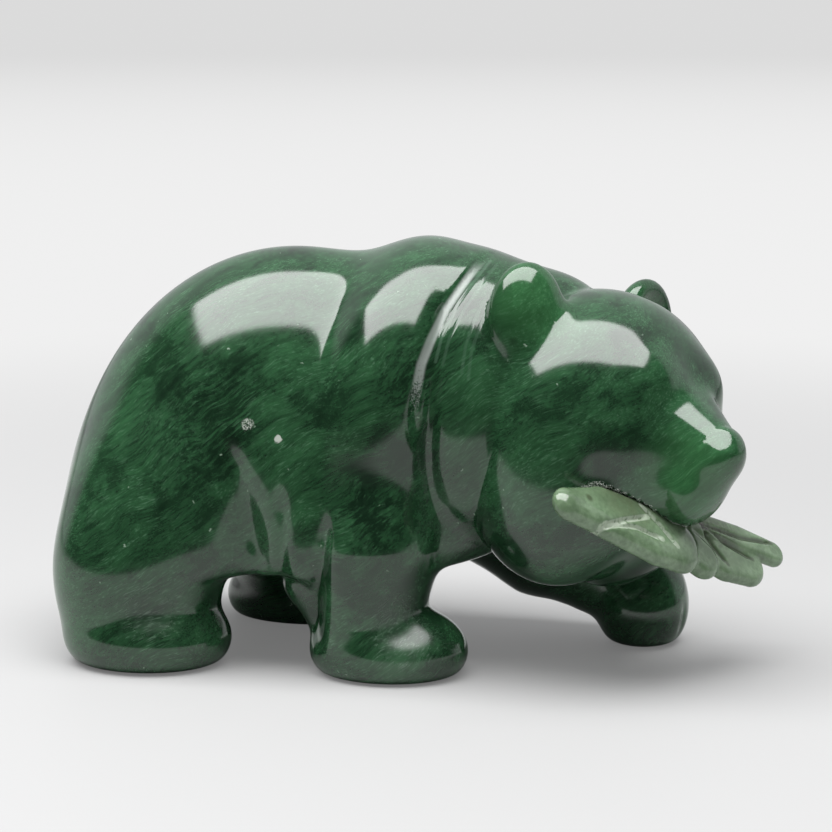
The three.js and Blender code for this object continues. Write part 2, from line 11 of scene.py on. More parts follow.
# %% Frame
import math
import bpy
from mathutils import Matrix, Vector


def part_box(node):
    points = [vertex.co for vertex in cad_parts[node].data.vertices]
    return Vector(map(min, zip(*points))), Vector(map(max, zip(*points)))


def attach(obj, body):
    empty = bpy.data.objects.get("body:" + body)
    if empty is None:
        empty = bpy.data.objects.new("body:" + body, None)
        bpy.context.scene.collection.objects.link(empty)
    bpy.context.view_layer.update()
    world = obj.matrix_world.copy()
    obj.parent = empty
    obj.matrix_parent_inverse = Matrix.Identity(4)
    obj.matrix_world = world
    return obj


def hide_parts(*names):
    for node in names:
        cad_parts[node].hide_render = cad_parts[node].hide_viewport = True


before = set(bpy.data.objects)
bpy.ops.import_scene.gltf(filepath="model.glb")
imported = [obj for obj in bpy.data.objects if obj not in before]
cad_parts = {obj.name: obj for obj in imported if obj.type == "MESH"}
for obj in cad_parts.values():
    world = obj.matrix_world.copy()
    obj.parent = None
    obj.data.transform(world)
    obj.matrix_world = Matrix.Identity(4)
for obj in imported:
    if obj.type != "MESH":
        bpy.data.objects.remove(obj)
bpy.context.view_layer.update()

from concurrent.futures import ThreadPoolExecutor

import bpy
import numpy as np
from mathutils import Vector

# The scene is in metres, and the carving is drawn in millimetres
MM = 0.001
bear_box = [np.array(corner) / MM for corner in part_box("bear")]
fish_box = [np.array(corner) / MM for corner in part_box("fish")]
print("bear box in mm", [corner.round(1).tolist() for corner in bear_box])
print("fish box in mm", [corner.round(1).tolist() for corner in fish_box])

# %% [markdown]
# ## Rounds, limbs and soft joins
#
# A polished carving has no hard seams: where a thigh meets the belly, the stone flows. Each form
# here answers one question for any point: how far is it to my surface? Two answers are melted into
# one by a minimum that is rounded where they are alike. Modelling the same flow with subdivision
# surfaces would need a net of faces drawn by hand around every leg and ear.

# %% Distances
def melt(a, b, reach):
    """The nearer of two surfaces, rounded where they meet."""
    near = np.maximum(reach - np.abs(a - b), 0) / reach
    return np.minimum(a, b) - near ** 3 * np.float32(1 / 6) * reach


def trim(a, b, reach):
    """What lies inside both, with a rounded edge."""
    return -melt(-a, -b, reach)


def turned(yaw=0.0, lean=0.0, roll=0.0):
    """Axes turned by roll about X, lean about Y and yaw about Z, in degrees."""
    (cz, sz), (cy, sy), (cx, sx) = ((math.cos(a), math.sin(a)) for a in np.radians((yaw, lean, roll)))
    about_z = np.array(((cz, -sz, 0), (sz, cz, 0), (0, 0, 1)))
    about_y = np.array(((cy, 0, sy), (0, 1, 0), (-sy, 0, cy)))
    about_x = np.array(((1, 0, 0), (0, cx, -sx), (0, sx, cx)))
    return (about_z @ about_y @ about_x).astype(np.float32)


def ellipsoid(p, centre, half, yaw=0.0, lean=0.0, roll=0.0):
    """A round mass: the distance is true on its surface and near enough around it."""
    q = (p - np.float32(centre)) @ turned(yaw, lean, roll) / np.float32(half)
    outward = np.sqrt((q * q).sum(1))
    steepness = np.sqrt(((q / np.float32(half)) ** 2).sum(1))
    return outward * (outward - 1) / np.maximum(steepness, np.float32(1e-6))


def limb(p, points, reach=1.0):
    """A chain of tapering rounds: each point is a place and a radius."""
    whole = None
    for start, end in zip(points[:-1], points[1:]):
        a, b = np.float32(start[:-1]), np.float32(end[:-1])
        t = np.clip((p - a) @ (b - a) / ((b - a) @ (b - a)), 0, 1)
        bone = np.sqrt(((p - a - t[:, None] * (b - a)) ** 2).sum(1))
        bone = bone - (np.float32(start[-1]) + t * np.float32(end[-1] - start[-1]))
        whole = bone if whole is None else melt(whole, bone, reach)
    return whole


def fade(start, full, value):
    """0 before start, 1 beyond full, smooth between; start may be the larger."""
    t = np.clip((value - start) / (full - start), 0, 1)
    return t * t * (3 - 2 * t)


# %% [markdown]
# ## The bear's masses
#
# The trunk is one tall egg, cut off at the belly. A ring of muscle stands over the shoulders, and
# the neck behind the head is a band of its own between two creases. All sizes are millimetres on
# the real carving, with its middle line at Y 0 and the ground at Z 0. A joint may be tight on the
# flank and softer on the back, so its reach can grow with height.

# %% Trunk
BELLY_HEIGHT = 16.0
CHEST_HEIGHT, CHEST_RISE = 14.5, 0.25
# Each joint: its reach low down, what is added on the back, and the heights between which it grows
RING_JOINT = (4, 6, 60, 68)
NECK_JOINT = (2, 7, 62, 70)
# The crease along the neck's joint, which runs out towards the back between two heights
SEAM_DEPTH, SEAM_WIDTH = 1.0, 1.8
SEAM_HEIGHTS = (60, 48)
# All creases fade out towards the spine: where they begin beside it and where they are full
CREASE_START, CREASE_FULL = 2.0, 8.0


def joint_reach(joint, height):
    """How far two masses melt into each other at a height."""
    reach, more, start, full = joint
    return reach + more * fade(start, full, height)


def trunk_field(p):
    trunk = ellipsoid(p, (-20.5, 0, 20), (41.3, 27, 49.6))
    near_haunch = ellipsoid(p, (-42, -12.5, 21), (16, 13.8, 21))
    far_haunch = ellipsoid(p, (-35, 13, 24), (16, 14, 25))
    shoulder_ring = ellipsoid(p, (-3, -0.5, 43), (16.8, 26.8, 29.2), lean=14)
    neck = ellipsoid(p, (11, -1.5, 43.5), (17, 22.4, 26.1))
    nape = ellipsoid(p, (23, -1, 48), (14, 14, 17.8))
    flank_cut = ellipsoid(p, (-23.5, -33, 10), (6.8, 9.5, 36))
    stone = melt(trunk, melt(near_haunch, far_haunch, 5), 12)
    stone = trim(stone, -flank_cut, 4)
    stone = melt(stone, shoulder_ring, joint_reach(RING_JOINT, p[:, 2]))
    stone = melt(stone, melt(neck, nape, 10), joint_reach(NECK_JOINT, p[:, 2]))
    seam = (shoulder_ring - neck) / np.float32(SEAM_WIDTH)
    seam = np.exp(-seam * seam) * fade(CREASE_START, CREASE_FULL, np.abs(p[:, 1]))
    seam = seam * fade(*SEAM_HEIGHTS, p[:, 2])
    stone = stone + np.float32(SEAM_DEPTH) * seam
    stone = trim(stone, np.float32(BELLY_HEIGHT) - p[:, 2], 8)
    return trim(stone, CHEST_HEIGHT + CHEST_RISE * p[:, 0] - p[:, 2], 8)


# %% [markdown]
# ## Four legs in mid-step
#
# The bear walks, so nothing is mirrored: both far feet stand forward of the near ones. A leg is a
# chain of tapering rounds, or an egg where it is plump, and its foot is a flatter egg. A foot melts
# into its leg over a shorter way than the leg into the body, as the carving's ankles do.

# %% Legs
def with_legs(stone, p):
    near_hind = melt(ellipsoid(p, (-45.2, -17, 13), (14.3, 11.5, 17)),
                     ellipsoid(p, (-43.3, -18, 4.5), (14.4, 11.5, 8.4)), 3)
    far_hind = melt(limb(p, ((-27, 16, 24, 12), (-26, 17, 10, 10))),
                    ellipsoid(p, (-23, 17, 4), (15, 10, 8.4)), 3)
    near_fore = melt(limb(p, ((-4, -14.5, 42, 11.5), (-4.5, -17.5, 22, 10.8), (-4.8, -18, 9, 9.3)), 6),
                     ellipsoid(p, (-1.5, -18, 4), (13.4, 10.5, 7.9)), 3)
    far_foreleg = ((4, 12, 28, 12), (20.5, 12.5, 16, 8.8), (29, 12, 12.5, 7.2), (38, 10.5, 9, 8))
    far_fore = melt(limb(p, far_foreleg, 4), ellipsoid(p, (38.8, 9.5, 6), (8, 8.5, 8.5)), 3)
    elbow_fold = limb(p, ((-15.2, -16, 34, 5), (-15.2, -17.2, 15, 4), (-10.5, -17, 7.5, 4)), 3)
    stone = melt(melt(stone, near_hind, 9), far_hind, 5)
    stone = melt(stone, elbow_fold, 2)
    return melt(melt(stone, near_fore, 3), far_fore, 5)


# %% [markdown]
# ## Creases and dents
#
# Between the masses the carver ground long creases, and small hollows over the toes. A crease is a
# line in side view, and it adds to the distance in a bell-shaped strip, which sinks the surface there.
# It runs out at both ends, because a blunt end would mirror the floor as a bright disc.

# %% Creases
CREASE_RUN_OUT = 7.0
CREASES = (
    # side, depth, half-width and the line in side view
    (-1, 1.2, 2.2, ((-27.7, 42.1), (-25.8, 34.5), (-24.2, 26.1), (-22.2, 17))),
    (-1, 0.9, 1.6, ((-18, 35), (-17.7, 24.7), (-18.3, 14))),
    (-1, 1.0, 1.5, ((-9.8, 30.5), (-11, 20.3), (-12.6, 10), (-13.4, 3))),
    (1, 1.2, 2.2, ((-22, 42), (-20, 30), (-14, 18))),
    (-1, 0.6, 1.0, ((15.4, 72.5), (12.9, 69.2), (8.0, 61.6), (4.9, 53.2), (4.1, 45.5), (4.3, 38))),
)
DENTS = (
    # the insteps of the near feet and the cut between two claws: place, half-sizes, depth
    ((3.2, -27, 8.4), (3.2, 3, 1.8), 0.5),
    ((-40, -28, 10.8), (4.6, 3, 1.8), 0.5),
    ((47.5, 6.5, 4.5), (2.2, 0.8, 2.6), 0.7),
)


def carve(stone, p, side, depth, width, line):
    """Cut a soft crease into one flank along a line drawn in side view; it runs out at both ends."""
    groove = cut_profile(p[:, [0, 2]], line, width, CREASE_RUN_OUT)
    return stone + np.float32(depth) * groove * fade(CREASE_START, CREASE_FULL, side * p[:, 1])


def cut_profile(q, line, width, run_out):
    """How deep a cut along a flat line is, from 0 to 1; it is shallow at both ends."""
    away = path_distance(q, line) / np.float32(width)
    ends = [np.sqrt(((q - np.float32(end)) ** 2).sum(1)) for end in (line[0], line[-1])]
    return np.exp(-away * away) * fade(0, run_out, ends[0]) * fade(0, run_out, ends[1])


def path_distance(q, points):
    return np.minimum.reduce([limb(q, ((*a, 0.0), (*b, 0.0))) for a, b in zip(points[:-1], points[1:])])


def dent(stone, p, place, half, depth):
    """Press a soft round hollow into the stone."""
    away = (((p - np.float32(place)) / np.float32(half)) ** 2).sum(1)
    return stone + np.float32(depth) * np.exp(-away)


def body_field(p):
    stone = with_legs(trunk_field(p), p)
    for crease in CREASES:
        stone = carve(stone, p, *crease)
    for place, half, depth in DENTS:
        stone = dent(stone, p, place, half, depth)
    return stone


# %% [markdown]
# ## The head
#
# The bear turns its head to its right and leans it a little. So the head is drawn in a frame of its
# own, forward, left and up from its centre, and then turned. The muzzle is a short cone with one
# facet ground on the near side of its bridge. The ears are thick leaves, the far one with a cup.

# %% Head
HEAD_CENTRE = np.float32((32, -6.5, 40.4))
HEAD_TURN, HEAD_ROLL = 32.0, 11.0
NOSE_AT, NOSE_SLOPE = (32, 0, 0), 37.0
NOSE_ROUND = 2.5
BRIDGE_FACET, BRIDGE_FACET_AT = (0.59, -0.60, 0.54), 18.2
FACET_ROUND = 0.5
MUZZLE_JOINT = (1.8, 3.5, 6, -2)
MOUTH_CORNER = (12.3, -14.8, -7), (4, 4, 4), 0.7
# The furrow between the brows: where it begins and is full, from below, from above and forward
FURROW_DEPTH, FURROW_WIDTH = 0.6, 3
FURROW_FOOT, FURROW_TOP, FURROW_FORWARD = (2, 7), (20, 10), (8, 14)
EARS = (
    # centre, half sizes, yaw and roll
    ((-4.3, -17.3, 16.4), (4.6, 6.6, 9.6), -35, 5),
    ((-3.8, 13.6, 17.2), (3.8, 7.4, 9.4), 0, -8),
)
FAR_EAR_CUP = (0.2, 14, 21.2), (2.8, 5, 5.4)


def head_field(p):
    q = (p - HEAD_CENTRE) @ turned(yaw=-HEAD_TURN, roll=-HEAD_ROLL)
    skull = ellipsoid(q, (-0.3, 0, 3), (20, 21.3, 20.6))
    jowls = melt(*(ellipsoid(q, (-1, 7 * side, -6.5), (16.8, 14.3, 20)) for side in (-1, 1)), 8)
    brows = np.minimum(*(ellipsoid(q, (11.2, 6.5 * side, 8.5), (7, 6, 6.5)) for side in (-1, 1)))
    snout = melt(limb(q, ((12, 0, 2.4, 11.4), (24.2, 0, -0.9, 4.9))),
                 limb(q, ((8, 0, -7.5, 12), (20, 0, -7.6, 5.8))), 8)
    snout = trim(snout, q @ np.float32(BRIDGE_FACET) - np.float32(BRIDGE_FACET_AT), FACET_ROUND)
    rake = math.radians(NOSE_SLOPE)
    nose = (q - np.float32(NOSE_AT)) @ np.float32((math.cos(rake), 0, -math.sin(rake)))
    head = melt(melt(melt(skull, brows, 3), jowls, 8), trim(snout, nose, NOSE_ROUND),
                joint_reach(MUZZLE_JOINT, q[:, 2]))
    furrow = np.exp(-(q[:, 1] / np.float32(FURROW_WIDTH)) ** 2)
    furrow = furrow * fade(*FURROW_FOOT, q[:, 2]) * fade(*FURROW_TOP, q[:, 2])
    head = head + np.float32(FURROW_DEPTH) * furrow * fade(*FURROW_FORWARD, q[:, 0])
    head = dent(head, q, *MOUTH_CORNER)
    near_ear, far_ear = (ellipsoid(q, centre, half, yaw=yaw, roll=roll) for centre, half, yaw, roll in EARS)
    far_ear = trim(far_ear, -ellipsoid(q, *FAR_EAR_CUP), 2)
    return melt(melt(head, near_ear, 4), far_ear, 3)


# %% [markdown]
# ## The fish
#
# The fish is a thin plate that lies crosswise in the mouth and leans down over the cheek. It is
# drawn in its own frame, along to the tail and up to its back, as four overlapping blades: body,
# belly fin and the two lobes of the tail. Blades with rounded edges look ground, as thin jade is.

# %% Fish
FISH_MIDDLE = np.float32((46.7, -15, 26.5))
FISH_HEADING, FISH_DIP, FISH_TILT = 50.0, 16.0, 50.0
BLADES = (
    # the outline with half-widths, half the thickness, the lift out of the plate, the edge's round
    (((-27.2, -0.8, 2.9), (-19, -1.2, 4.9), (-9, -3.4, 5.9), (-4.2, -4.8, 5.1)), 2.0, 0.4, 3.2),
    (((-3, -2, 4.5), (2.6, -5.9, 3.6)), 1.5, -0.5, 1.6),
    (((0, -1, 4.2), (9, -4, 4.9), (14.6, -5, 4.1)), 1.4, -0.9, 1.6),
    (((0, 1.2, 2.5), (14, -0.6, 2.7), (22.3, -2.2, 2.4)), 1.3, -0.2, 1.4),
)
GILL_CUTS = (
    # lines along and up the plate
    ((-11.6, 0.5), (-8.6, -2.6), (-6.0, -6.3)),
    ((-22.3, -4.8), (-16.9, -3.1), (-11.1, -1.6)),
    ((-21.5, -4.3), (-14.8, -4.1), (-9.2, -5.5)),
)
FIN_CUTS = (
    ((4.1, 0.4), (6.0, -3.2), (8.4, -6.6)),
    ((4.1, 0.4), (9.4, -2.2), (15.6, -4.6)),
    ((4.1, 0.4), (13.7, -1.0), (21.7, -0.8)),
    ((0.5, 0.2), (0.8, -4.0), (-0.6, -7.5)),
)
CUT_DEPTH, CUT_WIDTH, CUT_RUN_OUT = 0.5, 0.42, 1.6
# Only the side that shows is cut: how far out of the plate the cuts begin and are full
CUT_SIDE = (-0.5, 0.5)
BLADE_JOINT = 0.6


def fish_axes():
    heading, dip, tilt = (math.radians(a) for a in (FISH_HEADING, FISH_DIP, FISH_TILT))
    along = np.array((math.cos(heading) * math.cos(dip), math.sin(heading) * math.cos(dip), -math.sin(dip)))
    level = np.array((math.sin(heading), -math.cos(heading), 0))
    steep = -np.cross(along, level)
    back = math.sin(tilt) * steep - math.cos(tilt) * level
    return np.stack((along, back, np.cross(along, back)), 1).astype(np.float32)


FISH_AXES = fish_axes()


def fish_plate(q):
    """The fish in its own frame."""
    plate = None
    for outline, half, lift, edge in BLADES:
        rim = np.minimum.reduce([limb(q[:, :2], pair) for pair in zip(outline[:-1], outline[1:])])
        rim = np.maximum(rim / np.float32(edge) + 1, 0)
        face = (q[:, 2] - np.float32(lift)) / np.float32(half)
        blade = (np.sqrt(rim * rim + face * face) - 1) * np.float32(half)
        plate = blade if plate is None else melt(plate, blade, BLADE_JOINT)
    return plate


def fish_field(q):
    plate = fish_plate(q)
    cuts = sum(cut_profile(q[:, :2], line, CUT_WIDTH, CUT_RUN_OUT) for line in GILL_CUTS + FIN_CUTS)
    return plate + np.float32(CUT_DEPTH) * np.minimum(cuts, 1) * fade(*CUT_SIDE, q[:, 2])


# %% [markdown]
# ## One fine skin
#
# The distance is sampled on a fine grid, but only near the surface, and one point is set in each
# grid cell that the surface crosses. Every point is then slid along the slope of the distance until
# it lies on the surface. That last step is what makes a mirror polish believable: a reflection
# shows an error of a hundredth of a millimetre that a matt surface would hide.

# %% Measuring
WORKERS = 4
CHUNK = 60000
SLOPE_STEP = 0.03
workers = ThreadPoolExecutor(WORKERS)


def measure(field, points):
    """The field at many points, shared out among the workers."""
    parts = [points[i:i + CHUNK] for i in range(0, len(points), CHUNK)]
    return np.concatenate(list(workers.map(field, parts)))


def slope_of(field, points):
    """The way out of the surface, from four samples set as a tetrahedron."""
    ways = np.float32(((1, -1, -1), (-1, -1, 1), (-1, 1, -1), (1, 1, 1)))
    grade = sum(way * measure(field, points + SLOPE_STEP * way)[:, None] for way in ways)
    return grade / (4 * np.float32(SLOPE_STEP))


# %% [markdown]
# ### A grid that is fine only where it counts
#
# Measuring every corner of a fine grid would take minutes, and most corners are far from the stone.
# So the grid is measured in coarse blocks first, and then corner by corner in the blocks near the
# surface. A cell is crossed if some of its eight corners are inside the stone and some outside.

# %% Grid
# The grid is first measured in blocks of this many cells a side
BLOCK = 4
CORNERS = np.array([(n & 1, n >> 1 & 1, n >> 2) for n in range(8)])


def sample_grid(field, low, high, cell):
    """The distance at each grid corner: rough far off, and measured where the surface is near."""
    blocks = np.ceil((np.float32(high) - low) / (cell * BLOCK)).astype(int)
    numbers = np.stack(np.meshgrid(*(np.arange(n) for n in blocks), indexing="ij"), -1).reshape(-1, 3)
    middle = low + ((numbers + 0.5) * BLOCK - 0.5).astype(np.float32) * np.float32(cell)
    value = measure(field, middle).reshape(blocks)
    near = np.abs(value) < 1.5 * cell * BLOCK
    for axis in range(3):
        value = np.repeat(value, BLOCK, axis)
        near = np.repeat(near, BLOCK, axis)
    nodes = np.argwhere(near)
    value[near] = measure(field, low + nodes.astype(np.float32) * np.float32(cell))
    return value


def crossed_cells(inside):
    """The cells with some corners inside the stone and some outside."""
    x, y, z = np.array(inside.shape) - 1
    count = sum(inside[a:a + x, b:b + y, c:c + z].astype(np.int8) for a, b, c in CORNERS)
    return np.argwhere((count > 0) & (count < 8))


def mean_crossing(value, cells):
    """Where the surface cuts a cell's edges, on average, as a share of the cell."""
    value = np.stack([value[tuple((cells + corner).T)] for corner in CORNERS], 1)
    total = np.zeros((len(cells), 3), np.float32)
    crossings = np.zeros(len(cells), np.float32)
    for start in range(8):
        for axis in range(3):
            end = start | 1 << axis
            if end != start:
                crossed = (value[:, start] < 0) != (value[:, end] < 0)
                t = value[:, start] / np.where(crossed, value[:, start] - value[:, end], 1)
                where = np.tile(CORNERS[start].astype(np.float32), (len(cells), 1))
                where[:, axis] = t
                total += where * crossed[:, None]
                crossings += crossed
    return total / crossings[:, None]


# %% [markdown]
# ### Points slid onto the surface
#
# Each crossed cell gives one point, and each crossed edge joins four of them to a face. The points
# start at the mean of the cell's crossings and are then slid, which a few short steps do.

# %% Skin
SLIDES = 3
# The gentlest squared slope that a slide divides by, so no point leaps where masses melt
LEAST_SLOPE = 0.3


def slide(field, points, floor, cell):
    """Move each point along the slope onto the surface, but not out of its cell."""
    for _ in range(SLIDES):
        grade = slope_of(field, points)
        grade /= np.maximum((grade * grade).sum(1), LEAST_SLOPE)[:, None]
        move = np.clip(-measure(field, points), -cell / 3, cell / 3)
        points = np.clip(points + grade * move[:, None], floor, floor + np.float32(cell))
    return points


def join_cells(inside, cells):
    """A face of four points round each grid edge that the surface crosses, facing outwards."""
    number = np.full(inside.shape, -1)
    number[tuple(cells.T)] = np.arange(len(cells))
    quads = []
    for axis in range(3):
        one, two = np.eye(3, dtype=int)[(axis + 1) % 3], np.eye(3, dtype=int)[(axis + 2) % 3]
        here = np.take(inside, range(inside.shape[axis] - 1), axis)
        there = np.take(inside, range(1, inside.shape[axis]), axis)
        edges = np.argwhere(here != there)
        around = ((1, 1), (0, 1), (0, 0), (1, 0))
        ring = np.stack([number[tuple((edges - s * one - t * two).T)] for s, t in around], 1)
        outward = here[tuple(edges.T)]
        quads.append(np.where(outward[:, None], ring, ring[:, ::-1]))
    return np.concatenate(quads)


def skin(field, low, high, cell):
    """Points and faces of the surface between two corners of a box."""
    low = np.float32(low)
    value = sample_grid(field, low, high, cell)
    inside = value < 0
    cells = crossed_cells(inside)
    floor = low + cells.astype(np.float32) * np.float32(cell)
    points = floor + mean_crossing(value, cells) * np.float32(cell)
    return slide(field, points, floor, cell), join_cells(inside, cells)


# %% [markdown]
# ## Placing a piece
#
# The carving was drawn from its own middle line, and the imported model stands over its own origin.
# The step from one to the other is read off the two boxes, so nothing is typed twice: the rump gives
# it along the bear, and the middle gives it across.

# %% Pieces
def mesh_piece(name, points, quads, normals):
    mesh = bpy.data.meshes.new(name)
    mesh.from_pydata((points * MM).tolist(), [], quads.tolist())
    mesh.polygons.foreach_set("use_smooth", [True] * len(mesh.polygons))
    mesh.normals_split_custom_set_from_vertices(normals.tolist())
    piece = bpy.data.objects.new(name, mesh)
    bpy.context.scene.collection.objects.link(piece)
    print(name, len(mesh.vertices), "points", 2 * len(mesh.polygons), "triangles")
    return piece


def unit(vectors):
    return vectors / np.maximum(np.linalg.norm(vectors, axis=1), 1e-6)[:, None]


FISH_CELL, BEAR_CELL = 0.28, 0.62
SEAT_GAP = 0.15
SOLE_ROUND = 2.4
HEAD_JOINT = 1.2
# The boxes that the two grids fill, the fish's in its own frame
FISH_ROOM = (-33, -13, -5), (28, 8, 5)
BEAR_ROOM = (-68, -34, -3), (66, 36, 78)

fish_points, fish_quads = skin(fish_field, *FISH_ROOM, FISH_CELL)
fish_normals = unit(slope_of(fish_field, fish_points)) @ FISH_AXES.T
fish_points = fish_points @ FISH_AXES.T + FISH_MIDDLE


def whole_stone(p):
    return trim(melt(body_field(p), head_field(p), HEAD_JOINT), -p[:, 2], SOLE_ROUND)


def seat(p):
    """How far inside the fish's seat a point is."""
    return np.float32(SEAT_GAP) - fish_plate((p - FISH_MIDDLE) @ FISH_AXES)


def bear_field(p):
    return np.maximum(whole_stone(p), seat(p))


bear_points, bear_quads = skin(bear_field, *BEAR_ROOM, BEAR_CELL)
bear_normals = unit(slope_of(bear_field, bear_points))

shift = bear_box[0] - bear_points.min(0)
shift[1] = (bear_box[0][1] + bear_box[1][1] - bear_points[:, 1].min() - bear_points[:, 1].max()) / 2
shift[2] = 0
print("carving's middle line stands at", shift.round(2).tolist())

bear = mesh_piece("jade_bear", bear_points + shift, bear_quads, bear_normals)
fish = mesh_piece("jade_fish", fish_points + shift, fish_quads, fish_normals)

# %% [markdown]
# ## Shader sums
#
# A material is a sum of masks. Written with nodes it is hard to read, so a socket is wrapped in a
# small class, and a line such as `0.1 + 0.3 * fibres` adds the Math nodes by itself.

# %% Wires
class Wire:
    """One output of a node, which can be added, multiplied and compared."""

    def __init__(self, tree, socket):
        self.tree = tree
        self.socket = socket

    def node(self, kind, settings=None, inputs=None, output=0):
        """A new node in the same tree: its type, its settings, then its sockets."""
        node = self.tree.nodes.new(kind)
        for key, value in (settings or {}).items():
            setattr(node, key, value)
        for key, value in (inputs or {}).items():
            if isinstance(value, Wire):
                self.tree.links.new(value.socket, node.inputs[key])
            else:
                node.inputs[key].default_value = value
        return Wire(self.tree, node.outputs[output])

    def math(self, operation, *values):
        return self.node("ShaderNodeMath", {"operation": operation}, dict(enumerate(values)))

    def __add__(self, other):
        return self.math("ADD", self, other)

    def __radd__(self, other):
        return self.math("ADD", other, self)

    def __rsub__(self, other):
        return self.math("SUBTRACT", other, self)

    def __mul__(self, other):
        return self.math("MULTIPLY", self, other)

    def __rmul__(self, other):
        return self.math("MULTIPLY", other, self)

    def ease(self, start, full):
        """0 below start, 1 above full, smooth between; start may be the larger."""
        return self.node("ShaderNodeMapRange", {"interpolation_type": "SMOOTHSTEP"},
                         {"Value": self, "From Min": start, "From Max": full})

    def noise(self, scale, detail=3.0, roughness=0.55):
        """Cloudy noise over this vector, about 0 to 1."""
        return self.node("ShaderNodeTexNoise", {}, {"Vector": self, "Scale": scale, "Detail": detail,
                                                    "Roughness": roughness})

    def blend(self, one, two):
        """A colour that is one where this is 0 and two where it is 1."""
        return self.node("ShaderNodeMix", {"data_type": "RGBA"}, {0: self, 6: one, 7: two}, output=2)

    def stretch(self, scale, turn=(0, 0, 0)):
        """This vector turned, then scaled, for grain that runs one way."""
        turned_place = self.node("ShaderNodeMapping", {}, {"Vector": self, "Rotation": turn})
        return turned_place.node("ShaderNodeMapping", {}, {"Vector": turned_place, "Scale": scale})

    def vector(self, operation, *values, output=0):
        return self.node("ShaderNodeVectorMath", {"operation": operation}, dict(enumerate(values)), output)

    def away_from(self, place):
        return self.vector("DISTANCE", self, place, output=1)

    def away_from_line(self, places, sight):
        """How far this place is from a line of places, seen along one direction."""
        sight = Vector(sight).normalized()
        seen = self.vector("SUBTRACT", self, self.vector("PROJECT", self, tuple(sight)))
        flat = [Vector(place) - Vector(place).dot(sight) * sight for place in places]
        nearest = None
        for start, end in zip(flat[:-1], flat[1:]):
            run = end - start
            from_start = self.vector("SUBTRACT", seen, tuple(start))
            share = self.vector("DOT_PRODUCT", from_start, tuple(run / run.length_squared), output=1)
            share = share.math("MAXIMUM", share.math("MINIMUM", share, 1.0), 0.0)
            foot = self.node("ShaderNodeVectorMath", {"operation": "SCALE"},
                             {0: tuple(run), "Scale": share})
            away = self.vector("DISTANCE", from_start, foot, output=1)
            nearest = away if nearest is None else away.math("MINIMUM", away, nearest)
        return nearest


def new_material(name):
    material = bpy.data.materials.new(name)
    material.use_nodes = True
    tree = material.node_tree
    shader = tree.nodes["Principled BSDF"]
    place = tree.nodes.new("ShaderNodeTexCoord").outputs["Object"]
    return material, shader, Wire(tree, place).stretch((1 / MM,) * 3)


def feed(shader, **sockets):
    """Set or link the shader's sockets; an underscore stands for a space."""
    for key, value in sockets.items():
        socket = shader.inputs[key.replace("_", " ")]
        if isinstance(value, Wire):
            value.tree.links.new(value.socket, socket)
        else:
            socket.default_value = value


def at(x, y, z):
    """A place on the drawn carving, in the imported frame's millimetres."""
    return tuple(float(v) for v in np.array((x, y, z)) + shift)


def patches(place, spots):
    """A soft mask round each spot: its place, how far it reaches and where it is full."""
    masks = [place.away_from(at(*spot)).ease(reach, full) for spot, reach, full in spots]
    whole = masks[0]
    for mask in masks[1:]:
        whole = whole + mask
    return whole


def from_side_line(place, line):
    """How far a place is from a line drawn in side view."""
    return place.away_from_line([at(x, 0, z) for x, z in line], (0, 1, 0))


# %% [markdown]
# ## Dark jade
#
# Dark nephrite is felted: its fibres run in swarms, here up and forward along the flank. Between
# them lie cloudy patches, nearly black ones, and pale specks. A few dark patches on the near flank,
# shoulder and foreleg are painted dark reflection, and the ears and the muzzle are painted greener,
# as light through thin stone would make them. The polish is high, so the roughness stays near a
# tenth, and only fine grit, dust and the worn places lift it.

# %% Dark jade
dark_jade, shader, place = new_material("dark_jade")
FIBRE_TURN = (0.0, math.radians(33), 0.0)
CROSS_TURN = (0.3, math.radians(55), 0.4)
# Patches: place, how far each reaches and where it is full
# Painted dark reflection on the near flank, shoulder and foreleg, where the stone mirrors the dark side of
# the studio
DARK_REFLECTION_PATCHES = ((-31, -23, 43), 15, 2), ((4, -24, 50), 11, 2), ((-3, -28, 29), 8, 2)
# Painted light: the ears and the muzzle glow greener, as if lit through thin stone
GLOW_THROUGH_PATCHES = ((22, -20, 64), 11, 2), ((49, -24, 36), 12, 3), ((36, 10, 58), 8, 2)
# Wear on the near toes, and a painted dull highlight there
WEAR_AND_SHEEN_PATCHES = ((3, -27.5, 9), 8, 3), ((-40, -28, 11), 7, 2)
NECK_LINES = (
    # lines in side view that the carver cut along the ruff
    ((13.8, 68.4), (12.1, 65.9), (9.9, 62.2), (7.8, 57.5), (7.0, 53.5)),
    ((14.9, 67.9), (13.3, 65.4), (11.1, 61.7), (9.1, 57.3), (8.2, 53.0)),
    ((14.2, 63.3), (12.9, 60.1), (11.9, 56.3), (11.5, 52.0)),
    ((15.2, 62.3), (13.9, 59.1), (12.9, 55.5), (12.6, 51.0)),
)
RUFF_GROOVE = (12.9, 69.2), (11.1, 66.6), (8.0, 61.6), (6.1, 56.9), (4.9, 53.2), (4.1, 47.7), (3.7, 40)
drift = place.node("ShaderNodeTexNoise", {}, {"Vector": place, "Scale": 0.05, "Detail": 2.0}, output=1)
bent = place.node("ShaderNodeVectorMath", {"operation": "MULTIPLY_ADD"}, {0: drift, 1: (9, 9, 9), 2: place})
hairs = bent.stretch((0.45, 2.8, 4.2), FIBRE_TURN).noise(1.0, 3.0, 0.6)
felt = bent.stretch((0.5, 2.6, 4.0), CROSS_TURN).noise(1.0, 3.0, 0.6)
fibres = bent.stretch((0.16, 0.9, 1.5), FIBRE_TURN).noise(1.0, 6.0, 0.7)
swarms = bent.stretch((0.05, 0.16, 0.22), FIBRE_TURN).noise(1.0, 5.0, 0.65)
grit = place.noise(3.5, 3.0, 0.7)
clouds = place.noise(0.07, 3.0)
